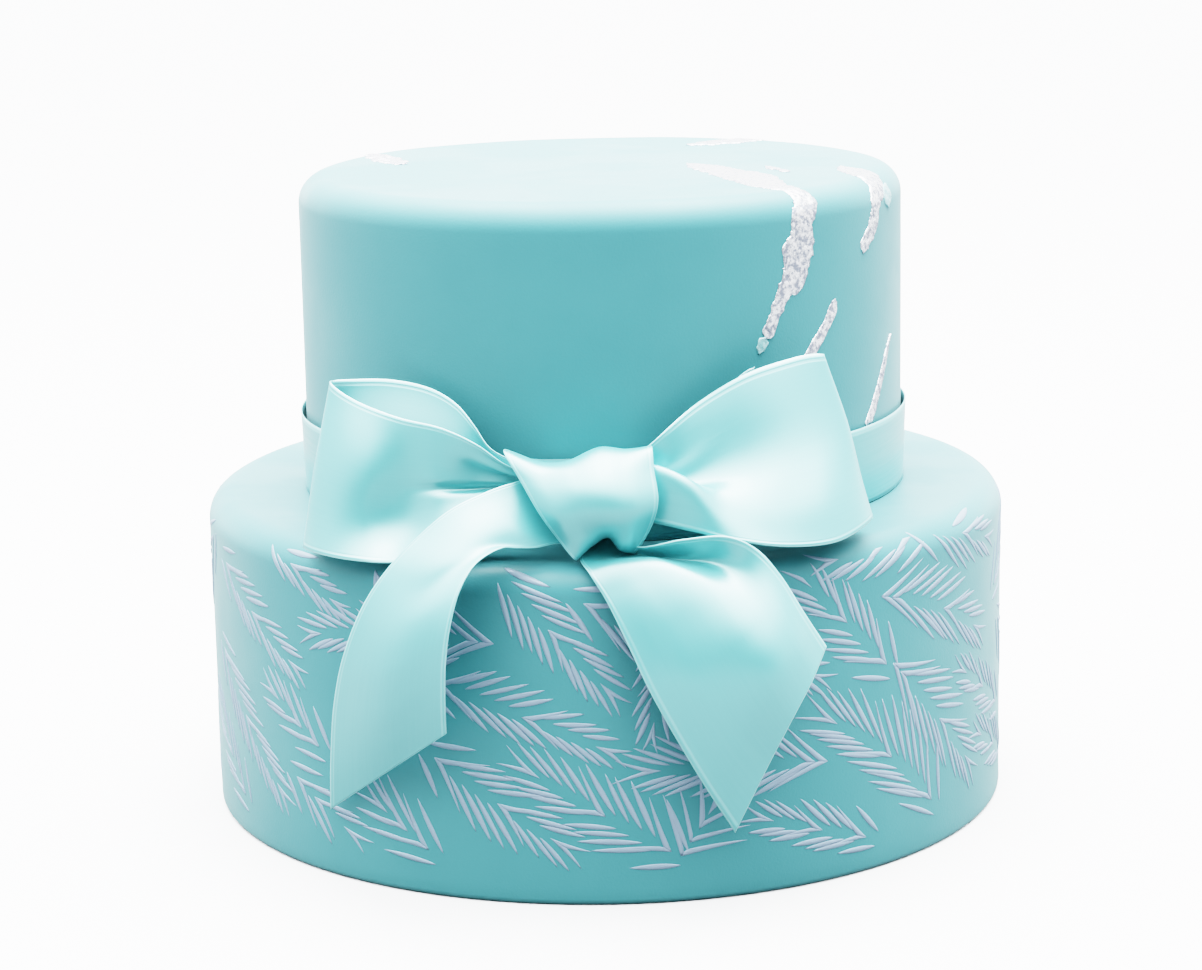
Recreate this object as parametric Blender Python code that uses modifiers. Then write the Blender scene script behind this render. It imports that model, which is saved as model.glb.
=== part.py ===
"""Two-tier celebration cake with a ribbon band, a tied bow, fern fronds and silver leaf.

Everything is worked out in millimetres and handed over in metres. The cake stands on
z = 0 with its axis on the Z axis, and the bow faces -Y.
"""
import math

import bmesh
import bpy
import numpy as np
from mathutils import Vector

for old in list(bpy.data.objects):
    bpy.data.objects.remove(old)

MM = 0.001
GAP = 0.3            # clear distance between pieces that touch on the real cake

# Lower tier: an 8 inch cake under 2.4 mm of sugar paste
LOWER_R = 104.0
LOWER_H = 82.5
LOWER_EDGE = 7.0     # radius of the soft top edge
# Upper tier: a 6 inch cake under the same paste
UPPER_R = 77.8
UPPER_H = 80.9
UPPER_EDGE = 7.0
FOOT_EDGE = 1.6      # small rounding where the paste is trimmed at the board
UPPER_Z = LOWER_H + GAP
TURN_STEPS = 64

# Ribbon
BAND_GAP = 0.3
BAND_THICK = 1.1
BAND_Z = UPPER_Z
BAND_W = 20.0
RIBBON_THICK = 1.0   # double the real thickness, so that the solid prints and collides well
TIE_GAP = 0.4        # clear distance between the knot and what runs into it

# Relief
FROND_HIGH = 0.45
LEAF_HIGH = 0.4
SUNK = 0.9           # how deep relief pieces reach into the paste before they are joined


def paint(name, colour, rough, metallic=0.0):
    """One Principled material of its own for a node."""
    mat = bpy.data.materials.new(name)
    mat.use_nodes = True
    shader = mat.node_tree.nodes["Principled BSDF"]
    shader.inputs["Base Color"].default_value = (*colour, 1.0)
    shader.inputs["Roughness"].default_value = rough
    shader.inputs["Metallic"].default_value = metallic
    mat.diffuse_color = (*colour, 1.0)
    return mat


def face_outwards(mesh):
    """Turn a mesh's faces outwards."""
    shape = bmesh.new()
    shape.from_mesh(mesh)
    bmesh.ops.recalc_face_normals(shape, faces=shape.faces)
    shape.to_mesh(mesh)
    shape.free()


def new_object(name, verts, faces, mat=None, collection=None):
    """Mesh object from vertices in millimetres, with its faces turned outwards."""
    mesh = bpy.data.meshes.new(name)
    mesh.from_pydata([tuple(MM * c for c in v) for v in verts], [], [tuple(f) for f in faces])
    face_outwards(mesh)
    if mat is not None:
        mesh.materials.append(mat)
    obj = bpy.data.objects.new(name, mesh)
    (collection or bpy.context.scene.collection).objects.link(obj)
    return obj


def settle(obj):
    """Turn an object's modifiers into plain mesh."""
    bpy.context.view_layer.update()
    graph = bpy.context.evaluated_depsgraph_get()
    mesh = bpy.data.meshes.new_from_object(obj.evaluated_get(graph))
    obj.modifiers.clear()
    obj.data = mesh
    return obj


# Tiers

def tier_profile(radius, height, edge, base_z, arc_steps=5, foot_steps=2):
    """Outline of a tier from the middle of its top, round the soft edge, to its foot."""
    top = base_z + height
    points = [(0.0, top)]
    for i in range(arc_steps + 1):
        turn = 0.5 * math.pi * i / arc_steps
        points.append((radius - edge + edge * math.sin(turn), top - edge + edge * math.cos(turn)))
    for i in range(foot_steps + 1):
        turn = 0.5 * math.pi * i / foot_steps
        points.append((radius - FOOT_EDGE + FOOT_EDGE * math.cos(turn),
                       base_z + FOOT_EDGE - FOOT_EDGE * math.sin(turn)))
    points.append((0.0, base_z))
    return points


def turned(name, profile, mat, steps=TURN_STEPS, close=False):
    """Solid of revolution about Z from a profile drawn at +X."""
    mesh = bpy.data.meshes.new(name)
    edges = [(i, i + 1) for i in range(len(profile) - 1)]
    if close:
        edges.append((len(profile) - 1, 0))
    mesh.from_pydata([(MM * r, 0.0, MM * z) for r, z in profile], edges, [])
    mesh.materials.append(mat)
    obj = bpy.data.objects.new(name, mesh)
    bpy.context.scene.collection.objects.link(obj)
    screw = obj.modifiers.new("turn", "SCREW")
    screw.axis = "Z"
    screw.angle = 2.0 * math.pi
    screw.steps = steps
    screw.render_steps = steps
    screw.use_merge_vertices = True
    screw.merge_threshold = 0.00001
    settle(obj)
    face_outwards(obj.data)
    return obj


class TierSkin:
    """Places points on a tier by azimuth and by distance down its outline.

    The distance is 0 where the straight wall begins, positive down the wall and negative
    over the soft edge and in across the top.
    """

    def __init__(self, radius, height, edge, base_z):
        self.radius = radius
        self.edge = edge
        self.wall_z = base_z + height - edge
        self.top_z = base_z + height
        self.arc = 0.5 * math.pi * edge

    def place(self, azimuth, down, lift):
        """Point at an azimuth in radians (0 faces -Y), lifted off the surface."""
        if down >= 0.0:
            r, z, nr, nz = self.radius, self.wall_z - down, 1.0, 0.0
        elif down > -self.arc:
            turn = -down / self.edge
            nr, nz = math.cos(turn), math.sin(turn)
            r = self.radius - self.edge + self.edge * nr
            z = self.wall_z + self.edge * nz
        else:
            r, z, nr, nz = self.radius - self.edge + self.arc + down, self.top_z, 0.0, 1.0
        r += lift * nr
        z += lift * nz
        return (r * math.sin(azimuth), -r * math.cos(azimuth), z)

    def at_height(self, arc_mm, z, lift):
        """Point at a distance round the wall and a height."""
        over = (z - self.wall_z) / self.edge
        down = self.wall_z - z if over <= 0.0 else -self.edge * math.asin(min(over, 0.98))
        return self.place(arc_mm / self.radius, down, lift)


def relief_block(outline, skin_point, high):
    """Closed block over an outline on a skin: its top stands proud, its foot is sunk."""
    n = len(outline)
    verts = [skin_point(a, b, high) for a, b in outline]
    verts += [skin_point(a, b, -SUNK) for a, b in outline]
    sides = [(i, (i + 1) % n, n + (i + 1) % n, n + i) for i in range(n)]
    return verts, sides


def fuse(base, collection):
    """Join every object of a collection to a solid, then take the objects away."""
    union = base.modifiers.new("fuse", "BOOLEAN")
    union.operation = "UNION"
    union.operand_type = "COLLECTION"
    union.collection = collection
    union.solver = "EXACT"
    settle(base)
    for obj in list(collection.objects):
        bpy.data.objects.remove(obj)
    bpy.data.collections.remove(collection)
    return base


# Fern fronds

# Front half of the stencil: distance round the wall and height, in mm, of base and tip.
FRONDS = [
    (-31, 86, 3.5, 49), (-27, 64, -84, 59.5), (-46, 54.5, 3.5, 36.5), (-46.5, 37, -7, 12),
    (-42.5, 9.5, -65, 25), (-90.8, 24.6, -63, 9.3), (-74.8, 30.3, -101, 45), (-131, 49, -90, 13.3),
    (-126, 72, -82, 48.5), (-104, 85, -66, 67.5), (-62, 86, -52, 66), (17.2, 11, -25, 36.5),
    (16.2, 11.6, 28.5, 29.5), (54.5, 30.5, 1.5, 33), (69.5, 7.8, 32, 20.5), (92.6, 9.8, 47, 44.5),
    (75.5, 48.6, 44, 80), (75, 51.2, 114.5, 12.5), (70.8, 68.5, 121, 47), (88, 80.8, 50, 79),
    (84, 83.5, 129, 71), (139, 24, 101.5, 44.5), (150, 7.5, 112, 25), (-9, 76, 27, 57),
    (15, 76, 9.3, 38), (18, 66, 56, 50), (-112, 8, -142, 34), (-134, 77, -160, 52),
    (-166, 36, -146, 8), (128, 56, 158, 78), (136, 50, 160, 30),
]
HALF_TURN = math.pi * LOWER_R   # the same stencil serves the back of the cake


def chevron(base, along, across, at, reach, half_angle, notch):
    """Dart-shaped pair of barbs: point at the base side, two arms toward the tip."""
    spread = reach * math.sin(half_angle)
    ahead = reach * math.cos(half_angle)
    corners = [(at, 0.0), (at + ahead, -spread), (at + notch, 0.0), (at + ahead, spread)]
    return [(base[0] + a * along[0] + b * across[0], base[1] + a * along[1] + b * across[1])
            for a, b in corners]


def frond_chevrons(frond, pitch=6.3):
    """Chevrons of one frond, each smaller and narrower than the one before it."""
    s0, z0, s1, z1 = frond
    length = math.hypot(s1 - s0, z1 - z0)
    along = ((s1 - s0) / length, (z1 - z0) / length)
    across = (-along[1], along[0])
    count = max(3, int((length - 6.0) / pitch))
    for i in range(count):
        t = i / count
        reach = 13.5 - 6.5 * t * t
        half_angle = math.radians(36.0 - 15.0 * t)
        yield chevron((s0, z0), along, across, t * (length - 8.0), reach, half_angle, 3.4)


def keep_on_wall(outline, low=4.0, high=LOWER_H - 1.2):
    """Tell whether an outline stays on the part of the wall that the stencil covers."""
    return all(low < z < high for _, z in outline)


def clear_of(outline, taken, room=2.0):
    """Tell whether an outline's points keep their distance from those already placed."""
    return all(math.hypot(a - c, b - d) > room for a, b in outline for c, d in taken)


def add_fronds(tier):
    """Fuse the fern stencil to the lower tier, the front list used again at the back."""
    skin = TierSkin(LOWER_R, LOWER_H, LOWER_EDGE, 0.0)
    relief = bpy.data.collections.new("frond_relief")
    bpy.context.scene.collection.children.link(relief)
    taken = []
    for side in range(2):
        for number, frond in enumerate(FRONDS):
            s0, z0, s1, z1 = frond
            shift = side * HALF_TURN
            placed = []
            for order, outline in enumerate(frond_chevrons((s0 + shift, z0, s1 + shift, z1))):
                if not keep_on_wall(outline) or not clear_of(outline, taken):
                    continue
                verts, faces = relief_block(outline, skin.at_height, FROND_HIGH)
                faces += [(0, 1, 2), (0, 2, 3), (6, 5, 4), (7, 6, 4)]
                new_object(f"barb_{side}_{number}_{order}", verts, faces, collection=relief)
                placed += outline
            taken += placed
    return fuse(tier, relief)


# Silver leaf

# Shards: stations of azimuth in degrees, distance down the outline and half width in mm.
SHARDS = [
    [(61, -46, 1.0), (50, -34, 2.6), (43, -21, 3.2), (39.5, -9, 3.6), (39.5, -1, 4.4),
     (40, 6, 4.8), (39, 12, 4.6), (35.5, 16, 3.4), (33, 22, 2.7), (30, 30, 1.8)],
    [(77, -17, 1.2), (72, -12, 2.3), (67, -6, 2.6), (65, 0, 2.2), (60, 6, 1.6), (56, 11, 1.4)],
    [(70, -7, 1.3), (71, -2, 1.5), (72.5, 2.5, 1.0)],
    [(47, 20, 1.2), (44.5, 24.5, 1.8), (38.5, 33.5, 1.5)],
    [(70, 34.5, 0.7), (65.5, 39, 1.0), (61, 45, 1.4), (57.5, 53, 1.9)],
    [(-127, -14, 1.0), (-125, -9.5, 2.6), (-122, -6, 1.4)],
    [(150, -26, 1.0), (146, -14, 2.8), (143, -5, 3.8), (141, 4, 3.6), (137, 14, 2.0), (134, 21, 1.2)],
    [(-70, -3, 1.1), (-72, 4, 2.2), (-76, 12, 1.4)],
    [(172, 15, 1.1), (168, 24, 1.8), (163, 33, 1.2)],
    [(-158, 30, 1.0), (-162, 38, 1.8), (-167, 48, 1.2)],
]


def shard_solid(stations, skin, high):
    """Strip of leaf along its stations, as a closed block sunk into the paste."""
    centres = np.array([[math.radians(az) * UPPER_R, down] for az, down, _ in stations])
    ways = np.gradient(centres, axis=0)
    ways /= np.linalg.norm(ways, axis=1)[:, None]
    verts = []
    for (arc, down), (wa, wd), (_, _, half) in zip(centres, ways, stations):
        shrink = UPPER_R / max(UPPER_R + min(down, 0.0) * 0.7, 20.0)
        for side, lift in ((-1, high), (1, high), (1, -SUNK), (-1, -SUNK)):
            a = arc - side * wd * half * shrink
            d = down + side * wa * half
            verts.append(skin.place(a / UPPER_R, d, lift))
    faces = [(3, 2, 1, 0)]
    last = len(stations) - 1
    for i in range(last):
        for k in range(4):
            m = (k + 1) % 4
            faces.append((4 * i + k, 4 * i + m, 4 * i + 4 + m, 4 * i + 4 + k))
    faces.append(tuple(4 * last + k for k in range(4)))
    return verts, faces


def add_leaf(tier):
    """Fuse the shards of silver leaf to the upper tier."""
    skin = TierSkin(UPPER_R, UPPER_H, UPPER_EDGE, UPPER_Z)
    relief = bpy.data.collections.new("leaf_relief")
    bpy.context.scene.collection.children.link(relief)
    for number, stations in enumerate(SHARDS):
        verts, faces = shard_solid(stations, skin, LEAF_HIGH)
        new_object(f"shard_{number}", verts, faces, collection=relief)
    return fuse(tier, relief)


# Ribbon

def through(points, n):
    """Smooth curve through points, spaced by their distance: n samples of a cubic."""
    p = np.asarray(points, float)
    step = np.maximum(np.linalg.norm(np.diff(p, axis=0), axis=1), 1e-6) ** 0.5
    knots = np.concatenate([[0.0], np.cumsum(step)])
    slope = np.gradient(p, knots, axis=0)
    at = np.linspace(0.0, knots[-1], n)
    i = np.clip(np.searchsorted(knots, at, side="right") - 1, 0, len(p) - 2)
    h = (knots[i + 1] - knots[i])[:, None]
    t = ((at - knots[i])[:, None]) / h
    return ((2 * t**3 - 3 * t**2 + 1) * p[i] + (t**3 - 2 * t**2 + t) * h * slope[i]
            + (3 * t**2 - 2 * t**3) * p[i + 1] + (t**3 - t**2) * h * slope[i + 1])


def lofted(rails, along, across):
    """Grid of points over rails that run side by side, smooth both ways."""
    lines = np.array([through(rail, along) for rail in rails])
    return np.array([through(lines[:, j], across) for j in range(along)])


def grid_faces(rows, cols, start=0):
    """Quads over a grid of rows by cols points."""
    return [(start + i * cols + j, start + (i + 1) * cols + j,
             start + (i + 1) * cols + j + 1, start + i * cols + j + 1)
            for i in range(rows - 1) for j in range(cols - 1)]


def ribbon(name, rails, along, across, mat):
    """Strip of ribbon over its rails, with both faces split alike."""
    grid = lofted(rails, along, across)
    obj = new_object(name, grid.reshape(-1, 3), grid_faces(along, across), mat)
    shell = obj.modifiers.new("thickness", "SOLIDIFY")
    shell.thickness = MM * RIBBON_THICK
    shell.offset = 0.0
    shell.use_even_offset = False
    return settle(obj)


# Left loop, from the knot out along the front, round the bend and back behind.
LOOP_LEFT = [
    [(-17, -89, 101.5), (-23.5, -90, 104.8), (-29.8, -89.5, 109.4), (-38, -86, 112.8),
     (-48.3, -81.2, 114.6), (-58, -75.8, 117.4), (-63.3, -72.8, 120.1), (-65.2, -71, 121.7),
     (-64.2, -69.8, 121.8), (-60.1, -69, 121.8), (-50.5, -69.6, 121.6), (-41.2, -72, 119.8),
     (-35, -75.2, 116.5), (-30.8, -79, 112), (-27, -82, 107), (-19, -84, 103)],
    [(-16, -89.5, 99), (-23.8, -89, 101), (-31, -87, 100), (-39.8, -87.4, 99.6), (-48, -85.6, 98.4),
     (-57, -86.2, 98.8), (-65.2, -80.6, 100.4), (-69.4, -75.2, 101.8), (-67.5, -72.8, 102.2),
     (-62, -74.5, 102), (-52, -76.5, 102), (-42, -78.5, 101.5), (-36, -80, 101), (-30, -81.5, 100),
     (-24, -83.5, 99), (-17, -85, 98)],
    [(-13.5, -91, 94), (-19, -92.5, 92.5), (-26, -94.5, 89.3), (-36, -96, 85.8), (-48.8, -95, 83.6),
     (-60.5, -91.4, 82.8), (-69, -84.2, 82.7), (-72.6, -77.6, 82.9), (-71.5, -74, 83.2),
     (-66, -70.5, 83.6), (-55, -70, 83.8), (-44, -72.5, 84), (-37, -76, 84.5), (-30, -80.5, 86),
     (-22, -84, 89), (-15.5, -86, 92)],
]

# Right loop, the same way; its second line is a valley and its third the ridge of a roll.
LOOP_RIGHT = [
    [(7, -87, 105), (11, -87, 108.4), (21.4, -82, 116.4), (33.1, -80.4, 123.1), (42, -78, 125.7),
     (49, -75, 126.7), (52.6, -73, 126.3), (51, -71.3, 125.2), (45, -71.5, 122.5), (36, -73, 117.5),
     (27, -76.5, 112), (19, -80, 107), (8.5, -83.5, 102.5)],
    [(6, -86, 100), (11.4, -86, 101), (20.5, -89.6, 99), (32, -90, 101.5), (43.5, -87.4, 105.5),
     (52, -82.2, 108.6), (58, -76, 110.1), (56.5, -73.2, 110), (50, -72.5, 109.5), (40, -74, 108),
     (29, -77.5, 105), (20, -81, 102), (8.5, -84, 99)],
    [(5, -92, 103), (11, -95.5, 104.8), (18.8, -97.8, 102), (28, -97, 95), (40, -96.4, 93),
     (52.4, -91.6, 94.3), (61.3, -80, 95.6), (60, -74, 95.5), (53.5, -72, 95.5), (43, -73.5, 95),
     (31, -77.5, 94.5), (21, -81.5, 94), (8.5, -85, 94)],
    [(5.5, -92.5, 91), (11.4, -96.6, 91.3), (20.5, -100, 89.8), (31, -101.3, 87.6), (42.5, -99.8, 85.8),
     (54, -95, 85.6), (63.3, -82, 88), (62, -73, 87.5), (55, -70.5, 86.5), (44, -73, 85.8),
     (32, -77.5, 86), (21, -82.5, 88), (8, -86.5, 90)],
]

# Left tail: outer edge, middle and inner edge, from the knot to the slant cut.
TAIL_LEFT = [
    [(-15.5, -92, 102.4), (-21, -95, 101.5), (-27, -97.2, 100), (-36, -100, 96.3), (-43.2, -101, 90.7),
     (-50.4, -102.5, 83.7), (-56.6, -102.3, 74.9), (-62.1, -99, 61.7), (-65.3, -93.6, 48.3),
     (-67.2, -87.6, 32.3), (-68.2, -82.2, 18.2)],
    [(-11.5, -94, 93.5), (-17.5, -98, 93), (-23.5, -102.5, 92.8), (-30.5, -106.3, 90.5),
     (-37.5, -109, 86), (-43.2, -110, 79.5), (-47.4, -111.6, 71.5), (-50.3, -111, 62),
     (-52, -107.6, 52), (-53, -102.6, 42), (-53.3, -97.2, 32)],
    [(-6.5, -94.5, 86.4), (-12, -98, 87.2), (-16.4, -100.8, 87), (-20.6, -103.8, 87.8),
     (-24, -107.5, 88.8), (-29.8, -112, 86.4), (-33.6, -115.6, 81), (-36, -117.8, 73),
     (-37.3, -117.4, 64), (-37.8, -114.8, 54.5), (-38, -111, 45.6)],
]

# Right tail: left edge, two lines of its body, the hollow behind the lip, and the lip.
TAIL_RIGHT = [
    [(-3.6, -93.5, 86), (-6.2, -99.4, 84), (-4, -105.5, 81.5), (-0.6, -108.8, 76.5), (3.8, -112, 67.8),
     (9.4, -114.4, 55.5), (20.7, -112.4, 33.8), (28.9, -107, 18.7)],
    [(-1.5, -93.5, 86.6), (-1.2, -99, 84), (2.5, -104.5, 84), (8.2, -108.4, 79.8), (14, -112.6, 71.5),
     (20.5, -116.2, 58.5), (28.5, -114.6, 44.8), (36.3, -109, 34.9)],
    [(0.5, -93.5, 87), (4, -98.2, 84), (10.5, -103.6, 84.6), (18, -107.2, 82), (25, -110.8, 76.5),
     (31, -114.6, 68.5), (37, -116.2, 59.5), (43, -112, 49.3)],
    [(1.5, -93.5, 87.3), (6.5, -97.6, 84.6), (16, -99.8, 83.4), (24.8, -101.5, 82.8),
     (31.5, -105.8, 80), (37, -110, 74), (42, -112, 65.6), (47, -109.2, 56)],
    [(2, -94.5, 87.8), (7.5, -100.5, 86.7), (18, -104.3, 89.2), (28, -104.6, 89.7), (34.6, -104, 86.6),
     (40.2, -104, 80), (45.5, -104.6, 71.2), (50.8, -102.6, 62.4)],
]

# Knot: rows from the top of the wrap down to its foot, each from left to right.
KNOT = [
    [(-18, -86, 105), (-13, -86, 103.5), (-8.5, -86, 104), (-1, -86, 106.5), (5, -86, 106),
     (9, -86, 105.5)],
    [(-23.6, -92.8, 108.7), (-14.5, -95, 105.7), (-9, -96.5, 106.2), (-1.1, -96, 109.2),
     (5, -95.5, 108.6), (12, -94, 109.2)],
    [(-19.8, -97.6, 102.3), (-13.4, -101, 101.5), (-7, -103.8, 102.3), (-1, -104.6, 103.3),
     (5, -102.8, 103.3), (12.5, -98, 104.4)],
    [(-15.3, -101.4, 94.9), (-11, -104.4, 95.5), (-6, -106, 96.3), (-0.5, -107, 96.8), (6, -105.6, 97),
     (13.4, -100.8, 97.5)],
    [(-11.2, -101.8, 89), (-8.2, -103.8, 90), (-4.5, -104.2, 91.3), (0.2, -104.7, 92),
     (5.3, -104, 91.5), (11, -100, 91)],
    [(-7.4, -101.5, 84.1), (-5.7, -101.2, 85.5), (-3.2, -100.7, 87.4), (0.4, -100.2, 89),
     (3.2, -100.8, 86.2), (6.8, -99, 85)],
    [(-6.5, -88, 84.6), (-4.5, -88, 85.2), (-2, -88, 86.2), (1, -88, 87), (3, -88, 86), (5.5, -88, 85)],
]
KNOT_BACK_Y = -(UPPER_R + BAND_GAP + BAND_THICK + GAP)


def knot_mesh(rows=13, cols=11, grow=0.0):
    """Closed knot: the wrapped front over a flat back; grow swells it for a cutter."""
    net = np.array(KNOT, float)
    lines = np.array([through(row, cols) for row in net])
    front = np.array([through(lines[:, j], rows) for j in range(cols)]).transpose(1, 0, 2)
    down = np.linspace(0.0, 1.0, rows)[:, None]
    side = np.linspace(0.0, 1.0, cols)[None, :]
    left = -15.0 + 9.5 * down
    right = 7.5 - 3.0 * down
    back = np.zeros_like(front)
    back[..., 0] = left + (right - left) * side
    back[..., 1] = KNOT_BACK_Y
    back[..., 2] = 103.5 - 17.5 * down
    verts = np.concatenate([front.reshape(-1, 3), back.reshape(-1, 3)])
    n = rows * cols
    faces = grid_faces(rows, cols) + [f[::-1] for f in grid_faces(rows, cols, n)]
    rim = [j for j in range(cols)]
    rim += [i * cols + cols - 1 for i in range(1, rows)]
    rim += [(rows - 1) * cols + j for j in range(cols - 2, -1, -1)]
    rim += [i * cols for i in range(rows - 2, 0, -1)]
    faces += [(a, n + a, n + b, b) for a, b in zip(rim, rim[1:] + rim[:1])]
    if grow:
        shape = bmesh.new()
        points = [shape.verts.new(Vector(v)) for v in verts]
        for face in faces:
            shape.faces.new([points[i] for i in face])
        bmesh.ops.recalc_face_normals(shape, faces=shape.faces)
        shape.normal_update()
        verts = np.array([np.array(p.co) + grow * np.array(p.normal) for p in points])
        shape.free()
    return verts, faces


def trim(obj, cutter):
    """Take away what a cutter covers."""
    cut = obj.modifiers.new("trim", "BOOLEAN")
    cut.operation = "DIFFERENCE"
    cut.object = cutter
    cut.solver = "EXACT"
    return settle(obj)


# The cake

AQUA = (0.30, 0.62, 0.64)
RIBBON = (0.52, 0.80, 0.82)

lower_tier = turned("lower_tier", tier_profile(LOWER_R, LOWER_H, LOWER_EDGE, 0.0),
                    paint("lower_paste", AQUA, 0.55))
add_fronds(lower_tier)

upper_tier = turned("upper_tier", tier_profile(UPPER_R, UPPER_H, UPPER_EDGE, UPPER_Z),
                    paint("upper_paste", AQUA, 0.55))
add_leaf(upper_tier)

band_in = UPPER_R + BAND_GAP
band_out = band_in + BAND_THICK
turned("ribbon_band", [(band_in, BAND_Z), (band_out, BAND_Z),
                       (band_out, BAND_Z + BAND_W), (band_in, BAND_Z + BAND_W)],
       paint("band_satin", RIBBON, 0.4), close=True)

knot_verts, knot_faces = knot_mesh()
new_object("bow_knot", knot_verts, knot_faces, paint("knot_satin", RIBBON, 0.35))
cutter_verts, cutter_faces = knot_mesh(grow=TIE_GAP)
cutter = new_object("knot_cutter", cutter_verts, cutter_faces)

for piece_name, rails, along, across in (
        ("bow_loop_left", LOOP_LEFT, 25, 7), ("bow_loop_right", LOOP_RIGHT, 23, 8),
        ("bow_tail_left", TAIL_LEFT, 16, 6), ("bow_tail_right", TAIL_RIGHT, 14, 8)):
    strip = ribbon(piece_name, rails, along, across, paint(piece_name + "_satin", RIBBON, 0.35))
    trim(strip, cutter)
bpy.data.objects.remove(cutter)
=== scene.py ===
import logging
import math
from dataclasses import dataclass, field
from enum import Enum
from typing import Iterable, Sequence

import bpy
import numpy as np
from mathutils import Euler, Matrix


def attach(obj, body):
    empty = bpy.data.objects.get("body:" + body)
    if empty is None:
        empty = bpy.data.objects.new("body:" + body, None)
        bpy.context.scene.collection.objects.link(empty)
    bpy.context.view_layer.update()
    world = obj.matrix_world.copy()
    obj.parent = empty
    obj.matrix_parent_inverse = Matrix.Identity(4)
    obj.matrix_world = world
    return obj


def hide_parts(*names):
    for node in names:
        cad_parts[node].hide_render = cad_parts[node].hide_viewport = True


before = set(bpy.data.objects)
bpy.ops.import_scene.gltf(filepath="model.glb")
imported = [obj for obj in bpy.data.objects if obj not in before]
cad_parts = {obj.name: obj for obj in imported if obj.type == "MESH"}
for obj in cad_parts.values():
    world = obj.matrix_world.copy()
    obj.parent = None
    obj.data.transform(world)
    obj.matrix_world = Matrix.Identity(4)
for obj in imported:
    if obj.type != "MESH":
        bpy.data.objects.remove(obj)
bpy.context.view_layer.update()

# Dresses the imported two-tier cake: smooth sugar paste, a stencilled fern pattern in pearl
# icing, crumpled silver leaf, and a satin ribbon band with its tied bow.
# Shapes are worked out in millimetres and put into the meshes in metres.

MM = 0.001
TAU = 2.0 * math.pi
# Where the cut end of a strip lies that has none in sight, past the end of every ribbon.
UNCUT = 1000.0
COOL_WHITE = (0.95, 1.0, 1.0, 1.0)
LOG = logging.getLogger("cake")
Array = np.ndarray
Socket = bpy.types.NodeSocket
Node = bpy.types.Node
Tree = bpy.types.NodeTree
Material = bpy.types.Material
Piece = bpy.types.Object
Colour = tuple[float, float, float]
Point = tuple[float, float, float]


# Meshes

def grid_quads(rows: int, cols: int, start: int = 0, ring: bool = False, tube: bool = False) -> Array:
    """Quads over a grid of points, row after row.

    Args:
        rows: Number of rows of points.
        cols: Number of points in a row.
        start: Index of the first point.
        ring: Whether the last column joins the first.
        tube: Whether the last row joins the first.

    Returns:
        Array of four point indices a face.
    """
    row = np.arange(rows if tube else rows - 1)[:, None]
    col = np.arange(cols if ring else cols - 1)[None, :]
    below, ahead = (row + 1) % rows, (col + 1) % cols
    corners = [row * cols + col, below * cols + col, below * cols + ahead, row * cols + ahead]
    return start + np.stack([c.ravel() for c in np.broadcast_arrays(*corners)], axis=1)


def fan(ring: Array, hub: int, flip: bool = False) -> Array:
    """Triangles between a closed ring of point indices and a hub."""
    pair = [ring, np.roll(ring, -1)]
    return np.stack([*(pair[::-1] if flip else pair), np.full(len(ring), hub)], axis=1)


def polar(radius: Array, azimuth: Array, z: Array) -> Array:
    """Points at a distance from the cake's axis and a height; azimuth 0 faces the bow."""
    x, y = radius * np.sin(azimuth), -radius * np.cos(azimuth)
    return np.stack(np.broadcast_arrays(x, y, z), axis=-1)


def rim_loop(rows: int, cols: int) -> Array:
    """Indices of a grid's boundary points, once round."""
    top = np.arange(cols)
    right = np.arange(1, rows) * cols + cols - 1
    bottom = (rows - 1) * cols + np.arange(cols - 2, -1, -1)
    left = np.arange(rows - 2, 0, -1) * cols
    return np.concatenate([top, right, bottom, left])


def closed_pair(rows: int, cols: int) -> Array:
    """Quads of a closed shell whose outer grid comes first and its inner grid second."""
    count = rows * cols
    outer = grid_quads(rows, cols)
    inner = grid_quads(rows, cols, count)[:, ::-1]
    rim = rim_loop(rows, cols)
    ahead = np.roll(rim, -1)
    wall = np.stack([rim, rim + count, ahead + count, ahead], axis=1)
    return np.concatenate([outer, inner, wall[:, ::-1]])


def surface_normals(grid: Array) -> Array:
    """Unit normals of a grid surface, from the cross product of its two slopes."""
    along = np.gradient(grid, axis=0)
    across = np.gradient(grid, axis=1)
    normal = np.cross(along, across)
    return normal / np.maximum(np.linalg.norm(normal, axis=2, keepdims=True), 1e-9)


def new_piece(name: str, points: Array, faces: Sequence[Array], material: Material,
              strip: Array | None = None) -> Piece:
    """Make a smooth mesh object.

    Args:
        name: Name of the object.
        points: Points in millimetres, one a row.
        faces: Face arrays, each with one face a row.
        material: The finish.
        strip: Optional coordinates of each point on its own strip, in millimetres.

    Returns:
        The new object, standing at the origin.
    """
    mesh = bpy.data.meshes.new(name)
    mesh.from_pydata((points * MM).tolist(), [], [f for part in faces for f in part.tolist()])
    mesh.polygons.foreach_set("use_smooth", np.ones(len(mesh.polygons), dtype=bool))
    if strip is not None:
        corner = np.empty(len(mesh.loops), dtype=np.int32)
        mesh.loops.foreach_get("vertex_index", corner)
        layer = mesh.uv_layers.new(name="strip")
        layer.data.foreach_set("uv", strip[corner].astype(np.float32).ravel())
    mesh.materials.append(material)
    mesh.update()
    piece = bpy.data.objects.new(name, mesh)
    bpy.context.scene.collection.objects.link(piece)
    return piece


def seat(piece: Piece, nodes: Iterable[str] = ()) -> Piece:
    """Fix a piece to the cake and hide the plain solids that it stands for."""
    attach(piece, "root")
    for node in nodes:
        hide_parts(node)
    LOG.info("%s: %d faces", piece.name, len(piece.data.polygons))
    return piece


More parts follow.
